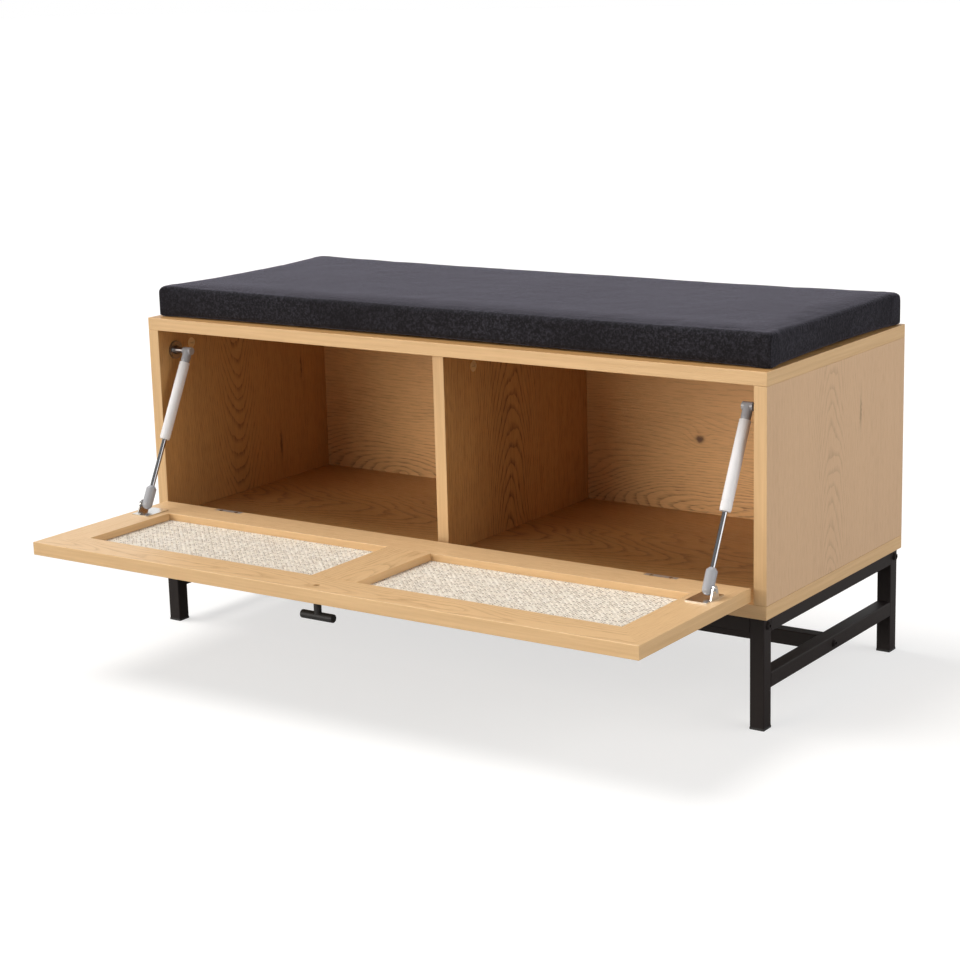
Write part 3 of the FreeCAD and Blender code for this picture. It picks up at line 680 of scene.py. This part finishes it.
def cane_finish():
    """Pale cane whose strips differ in tone, with brown dots of painted shade round some of the holes."""
    finish, tree, shader, coordinates = new_finish("natural_cane")
    tone = put(tree, "ShaderNodeAttribute", attribute_name="strip_tone").outputs["Fac"]
    fibre = cloudy(tree, coordinates["Object"], 900.0, 3.0)
    patch = cloudy(tree, coordinates["Object"], 60.0, 2.0)
    chance = cloudy(tree, coordinates["Object"], 150.0, 1.0)
    pale = between(tree, patch, 0.45, 0.8, 0.0, 0.45)
    brown = between(tree, fibre, 0.55, 0.8, 0.0, 0.2)
    # Brown dots of painted shade round some of the holes, picked at random.
    dots = calc(tree, "MULTIPLY", beside_holes(tree), between(tree, chance, 0.47, 0.56, 0.15, 1.0))
    tint = blended(tree, tone, colour(0.95, 0.90, 0.80), colour(0.92, 0.85, 0.74))
    tint = blended(tree, pale, tint, colour(0.97, 0.94, 0.88))
    tint = blended(tree, brown, tint, colour(0.60, 0.43, 0.27))
    join(tree, shader, {
        "Base Color": blended(tree, dots, tint, hole_shade_tone),
        "Roughness": calc(tree, "MULTIPLY_ADD", fibre, 0.2, 0.32),
        "Normal": relief(tree, fibre, 0.00004),
    })
    return finish


cane_look = cane_finish()
print(cane_look.name, "has", len(cane_look.node_tree.nodes), "nodes")

# %% Cane strips
cane_sizes = {
    "Width": 0.4,
    "Depth": 0.17,
    "Pitch": 0.0042,
    "Strip Width": 0.0035,
    "Strip Thickness": 0.0005,
    "Lift": 0.0004,
}


def steps_in(tree, size, span):
    """How many crossings fit in a span."""
    return calc(tree, "ROUND", calc(tree, "DIVIDE", span, size["Pitch"]))


def crossed(tree, size):
    """How many crossings a point is from the corner, along and across."""
    here = parts_of(tree, put(tree, "GeometryNodeInputPosition").outputs[0])
    counts = []
    for axis, span in ((0, size["Width"]), (1, size["Depth"])):
        share = calc(tree, "DIVIDE", calc(tree, "MULTIPLY_ADD", span, 0.5, here[axis]), span)
        counts.append(calc(tree, "MULTIPLY", share, steps_in(tree, size, span)))
    return counts


def strip_rows(tree, size, row_axis):
    """Straight curves along one axis, spaced along the other."""
    length = size["Width"] if row_axis == "X" else size["Depth"]
    spread = size["Depth"] if row_axis == "X" else size["Width"]

    def on_axes(lengthwise, sideways):
        flat = (lengthwise, sideways) if row_axis == "X" else (sideways, lengthwise)
        return triple(tree, *flat, 0.0)

    gaps = steps_in(tree, size, spread)
    ends = {
        "Start": on_axes(calc(tree, "MULTIPLY", length, -0.5), 0.0),
        "End": on_axes(calc(tree, "MULTIPLY", length, 0.5), 0.0),
    }
    line = put(tree, "GeometryNodeCurvePrimitiveLine", ends).outputs[0]
    points = calc(tree, "ADD", steps_in(tree, size, length), 1.0)
    dotted = put(tree, "GeometryNodeResampleCurve", {"Curve": line, "Count": points}).outputs[0]
    spacing = {
        "Count": calc(tree, "ADD", gaps, 1.0),
        "Start Location": on_axes(0.0, calc(tree, "MULTIPLY", spread, -0.5)),
        "Offset": on_axes(0.0, calc(tree, "DIVIDE", spread, gaps)),
    }
    starts = put(tree, "GeometryNodeMeshLine", spacing).outputs[0]
    copies = put(tree, "GeometryNodeInstanceOnPoints", {"Points": starts, "Instance": dotted})
    return put(tree, "GeometryNodeRealizeInstances", {0: copies.outputs[0]}).outputs[0]


def store(tree, geometry, name, value, kind, domain):
    """Keeps a value on the geometry for the finish to read."""
    inputs = {"Geometry": geometry, "Name": name, "Value": value}
    settings = {"data_type": kind, "domain": domain}
    return put(tree, "GeometryNodeStoreNamedAttribute", inputs, **settings).outputs[0]


def woven_strips(tree, size, row_axis, lift_sign, seed):
    """The rows of one axis, lifted at every other crossing, each with a tone of its own."""
    rows = strip_rows(tree, size, row_axis)
    turns = [calc(tree, "COSINE", calc(tree, "MULTIPLY", count, math.pi)) for count in crossed(tree, size)]
    wave = calc(tree, "MULTIPLY", calc(tree, "MULTIPLY", turns[0], turns[1]), size["Lift"])
    raised = triple(tree, 0.0, 0.0, calc(tree, "MULTIPLY", wave, lift_sign))
    moved = put(tree, "GeometryNodeSetPosition", {"Geometry": rows, "Offset": raised}).outputs[0]
    upright = put(tree, "GeometryNodeSetCurveNormal", {0: moved}, mode="Z_UP").outputs[0]
    chance = put(tree, "FunctionNodeRandomValue", {"Seed": seed}, data_type="FLOAT").outputs[1]
    return store(tree, upright, "strip_tone", chance, "FLOAT", "CURVE")


print("cane strips are", cane_sizes["Strip Width"] * 1000, "mm wide")

# %% Cane weave tree
weave_layers = (("X", 1.0, 3), ("Y", -1.0, 8))


def weave_tree():
    """Rows and columns of flat strips, from the sizes given as inputs."""
    tree = bpy.data.node_groups.new("cane_weave", "GeometryNodeTree")
    sockets = tree.interface
    sockets.new_socket("Geometry", in_out="INPUT", socket_type="NodeSocketGeometry")
    sockets.new_socket("Geometry", in_out="OUTPUT", socket_type="NodeSocketGeometry")
    for name, usual in cane_sizes.items():
        sockets.new_socket(name, in_out="INPUT", socket_type="NodeSocketFloat").default_value = usual
    size = put(tree, "NodeGroupInput").outputs
    layers = put(tree, "GeometryNodeJoinGeometry")
    for row_axis, sign, seed in weave_layers:
        tree.links.new(woven_strips(tree, size, row_axis, sign, seed), layers.inputs[0])
    outline = {"Width": size["Strip Width"], "Height": size["Strip Thickness"]}
    section = put(tree, "GeometryNodeCurvePrimitiveQuadrilateral", outline).outputs[0]
    sweep = {"Curve": layers.outputs[0], "Profile Curve": section, "Fill Caps": True}
    solid = put(tree, "GeometryNodeCurveToMesh", sweep).outputs[0]
    place = triple(tree, *crossed(tree, size), 0.0)
    placed = store(tree, solid, "weave_place", place, "FLOAT_VECTOR", "POINT")
    whole = put(tree, "GeometryNodeRealizeInstances", {0: placed}).outputs[0]
    faced = put(tree, "GeometryNodeSetMaterial", {"Geometry": whole, "Material": cane_look})
    tree.links.new(faced.outputs[0], put(tree, "NodeGroupOutput").inputs[0])
    return tree


cane_tree = weave_tree()
print("cane tree has", len(cane_tree.nodes), "nodes")

# %% Cane in the windows
def plain_mesh(piece):
    """What the modifiers make of a piece, as a mesh of its own."""
    graph = bpy.context.evaluated_depsgraph_get()
    return bpy.data.meshes.new_from_object(piece.evaluated_get(graph))


def make_cane(side):
    """One window's weave, in the place of its plain sheet."""
    low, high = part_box(side + "_cane_panel")
    own = {"Width": high.x - low.x, "Depth": high.y - low.y}
    piece = bpy.data.objects.new(side + "_cane_weave", bpy.data.meshes.new(side + "_cane_weave"))
    scene.collection.objects.link(piece)
    weave = piece.modifiers.new("weave", "NODES")
    weave.node_group = cane_tree
    for item in cane_tree.interface.items_tree:
        if item.in_out == "INPUT" and item.name in cane_sizes:
            weave[item.identifier] = own.get(item.name, cane_sizes[item.name])
    mesh = plain_mesh(piece)
    piece.modifiers.remove(weave)
    mesh.transform(Matrix.Translation((low + high) / 2))
    piece.data = mesh
    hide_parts(side + "_cane_panel")
    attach(piece, "flap")
    mesh.calc_loop_triangles()
    print(piece.name, len(mesh.loop_triangles), "triangles")


for side in sides:
    make_cane(side)

# %% [markdown]
# ## The cushion
#
# The seat is a slab of foam in a sewn charcoal cover. Modelling it as a rounded box would leave it
# stiff, so the cover is blown up as cloth round the foam's shape: a copy of the foam is remeshed into
# even squares, air pressure pushes the cloth out for a few steps, and no point may move far, because
# the foam holds the cover's shape. Its underside is then laid flat on the top board. The remesh and the
# air both round the edges off, so the corners and edges are drawn out at the end, as sewn seams do.

# %% Charcoal weave
thread_pitch = 0.0016
weave_depth = 0.00015


def charcoal_weave():
    """Dark cloth with fine threads, paler slubs and flecks, broad darker patches that are partly painted
    shade, and a faint sheen.
    """
    finish, tree, shader, coordinates = new_finish("charcoal_weave")
    rate = math.tau / thread_pitch
    axes = parts_of(tree, coordinates["Object"])
    waves = [calc(tree, "SINE", calc(tree, "MULTIPLY", axis, rate)) for axis in axes]
    threads = calc(tree, "MULTIPLY", waves[0], calc(tree, "ADD", waves[1], waves[2]))
    yarn = between(tree, threads, -1.2, 1.2)
    slub = cloudy(tree, coordinates["Object"], 420.0, 3.0, 0.6)
    patch = cloudy(tree, coordinates["Object"], 9.0, 3.0)
    fleck = cloudy(tree, coordinates["Object"], 210.0, 2.0, 0.65)
    slubbed = between(tree, slub, 0.5, 0.78, 0.0, 0.75)
    flecked = between(tree, fleck, 0.44, 0.70, 0.0, 0.5)
    # Broad darker patches: partly the cloth's random tone, partly painted shade for light that falls off
    # across the top.
    tone_and_shade_patches = between(tree, patch, 0.35, 0.7, 0.0, 0.65)
    tint = blended(tree, yarn, colour(0.010, 0.0095, 0.0115), colour(0.014, 0.0135, 0.016))
    tint = blended(tree, slubbed, tint, colour(0.048, 0.046, 0.060))
    tint = blended(tree, flecked, tint, colour(0.054, 0.052, 0.067))
    tint = blended(tree, tone_and_shade_patches, tint, colour(0.010, 0.009, 0.011))
    height = calc(tree, "MULTIPLY_ADD", slub, 0.8, yarn)
    height = calc(tree, "MULTIPLY_ADD", fleck, 5.0, height)
    join(tree, shader, {
        "Base Color": tint,
        "Roughness": 0.88,
        "Specular IOR Level": 0.1,
        "Sheen Weight": 0.35,
        "Sheen Roughness": 0.35,
        "Sheen Tint": colour(0.57, 0.55, 0.71),
        "Normal": relief(tree, height, weave_depth),
    })
    return finish


cushion_look = charcoal_weave()
print(cushion_look.name, "has", len(cushion_look.node_tree.nodes), "nodes")

# %% Cushion start
voxel = 0.006
merge_reach = 0.00001


def settle(piece):
    """Turns a piece's modifiers into its mesh."""
    mesh = plain_mesh(piece)
    piece.modifiers.clear()
    piece.data = mesh


def foam_copy():
    """An even, closed copy of the foam."""
    mesh = nodes["foam_core"].data.copy()
    shape = bmesh.new()
    shape.from_mesh(mesh)
    bmesh.ops.remove_doubles(shape, verts=shape.verts, dist=merge_reach)
    bmesh.ops.recalc_face_normals(shape, faces=shape.faces)
    shape.to_mesh(mesh)
    shape.free()
    piece = bpy.data.objects.new("seat_cushion", mesh)
    scene.collection.objects.link(piece)
    even = piece.modifiers.new("even", "REMESH")
    even.mode = "VOXEL"
    even.voxel_size = voxel
    settle(piece)
    return piece


cushion = foam_copy()
print("cushion starts with", len(cushion.data.vertices), "points")

# %% Cover pulled tight
crown_height = 0.003
crown_inset = 0.110
cover_stretch = Vector((1.008, 1.012, 1.0))
cover_shift = Vector((0.002, -0.004, 0.0))
foam_low, foam_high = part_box("foam_core")
foam_middle = (foam_low + foam_high) / 2
foam_half = (foam_high - foam_low) / 2


def inside(point):
    """How far a point is from the foam's nearest side."""
    place = point - foam_middle
    return min(foam_half.x - abs(place.x), foam_half.y - abs(place.y))


def pull_tight(piece):
    """Lifts the foam's edges to the height of its middle and fills its sides, as a tight cover does."""
    for vertex in piece.data.vertices:
        place = vertex.co - foam_middle
        share = max(0.0, min(1.0, inside(vertex.co) / crown_inset))
        above = max(0.0, place.z / foam_half.z)
        place.z += crown_height * (1.0 - share) ** 2 * above
        vertex.co = foam_middle + cover_shift + place * cover_stretch


pull_tight(cushion)
print("cover edges lifted by up to", crown_height * 1000, "mm")

# %% Cushion by simulation
puff_pressure = 4.0
puff_frames = 20
puff_limit = 0.0025


def puff(piece):
    """Blows the cover up as cloth, and holds each point near the foam."""
    before = [vertex.co.copy() for vertex in piece.data.vertices]
    cloth = piece.modifiers.new("puff", "CLOTH")
    cloth.settings.use_pressure = True
    cloth.settings.uniform_pressure_force = puff_pressure
    cloth.settings.effector_weights.gravity = 0.0
    cloth.point_cache.frame_end = puff_frames
    for step in range(1, puff_frames + 1):
        scene.frame_set(step)
    blown = plain_mesh(piece)
    piece.modifiers.clear()
    scene.frame_set(1)
    furthest = 0.0
    for vertex, start, end in zip(piece.data.vertices, before, blown.vertices):
        move = end.co - start
        furthest = max(furthest, move.length)
        if move.length > puff_limit:
            move = move.normalized() * puff_limit
        vertex.co = start + move
    print("cloth moved up to", round(furthest * 1000, 1), "mm")


puff(cushion)

# %% Cushion's small folds
seat_gap = 0.0003
seat_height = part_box("top_panel")[1].z + seat_gap
broad_rate = 6.0
broad_height = 0.0009
small_rate = 45.0
small_height = 0.0003
pinch_reach = 0.009
pinch_drop = 0.008
pinches = {(1, -1): 0.0040, (-1, -1): 0.0015, (1, 1): 0.0025, (-1, 1): 0.0020}


def corner_pinches():
    """Where the cover is pinched below its top corners, and how far each pinch pulls inwards."""
    corners = []
    for (way_x, way_y), depth in pinches.items():
        reach_x = way_x * foam_half.x * cover_stretch.x
        reach_y = way_y * foam_half.y * cover_stretch.y
        inward = Vector((-way_x, -way_y, 0.0)).normalized()
        place = foam_middle + cover_shift + Vector((reach_x, reach_y, foam_half.z - pinch_drop))
        corners.append((place, inward * depth))
    return corners


def crease(piece):
    """Soft unevenness on top, and a pinch at each corner; nothing goes below the seat."""
    corners = corner_pinches()
    for vertex in piece.data.vertices:
        above = max(0.0, (vertex.co.z - foam_middle.z) / foam_half.z)
        broad = soft_noise.noise(vertex.co * broad_rate) * broad_height
        small = soft_noise.noise(vertex.co * small_rate) * small_height
        vertex.co.z += (broad + small) * above
        for corner, move in corners:
            near = (vertex.co - corner).length / pinch_reach
            if near < 3.0:
                vertex.co += move * math.exp(-near * near)
        vertex.co.z = max(vertex.co.z, seat_height)


crease(cushion)
print("pinched at", len(pinches), "corners")

# %% Cushion's seams
corner_round = 0.034
edge_round = 0.016
squareness = 3.2


def squared(shares):
    """Pushes a place on a round towards the corner.

    A share is 0 where the round starts and 1 at the face.
    """
    far = math.sqrt(sum(share ** 2 for share in shares))
    near = sum(share ** squareness for share in shares) ** (1.0 / squareness)
    return [max(share, min(1.0, share * far / near)) for share in shares]


def top_level(points):
    """The mean height of the cushion's top, away from its edges."""
    tops = [p.co.z for p in points if p.co.z > foam_middle.z and inside(p.co) > edge_round]
    return sum(tops) / len(tops)


def draw_out(piece):
    """Draws the soft corners and edges out, as the cover's seams do."""
    points = piece.data.vertices
    half_z = top_level(points) - foam_middle.z
    middle = foam_middle + cover_shift
    half_x = max(abs(point.co.x - middle.x) for point in points)
    half_y = max(abs(point.co.y - middle.y) for point in points)
    for round_size, axes_used in ((corner_round, 2), (edge_round, 3)):
        for point in points:
            place = point.co - middle
            gaps = [half_x - abs(place.x), half_y - abs(place.y), half_z - abs(place.z)]
            shares = [max(0.0, 1.0 - gap / round_size) for gap in gaps[:axes_used]]
            if sum(share > 0.0 for share in shares) < 2:
                continue
            for axis, (share, wanted) in enumerate(zip(shares, squared(shares))):
                place[axis] += math.copysign((wanted - share) * round_size, place[axis])
            point.co = middle + place
            point.co.z = max(point.co.z, seat_height)


smooth = cushion.modifiers.new("smooth", "SUBSURF")
smooth.levels = 1
smooth.render_levels = 1
settle(cushion)
draw_out(cushion)
print("seams drawn out on", len(cushion.data.polygons), "faces")

# %% Cushion in its place
def finish_cushion(piece):
    """Smooth shading, the cloth, and what the piece stands for."""
    for face in piece.data.polygons:
        face.use_smooth = True
    piece.data.materials.clear()
    piece.data.materials.append(cushion_look)
    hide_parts("cushion_cover", "foam_core")
    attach(piece, "cushion")
    print(piece.name, "wears", cushion_look.name)


finish_cushion(cushion)
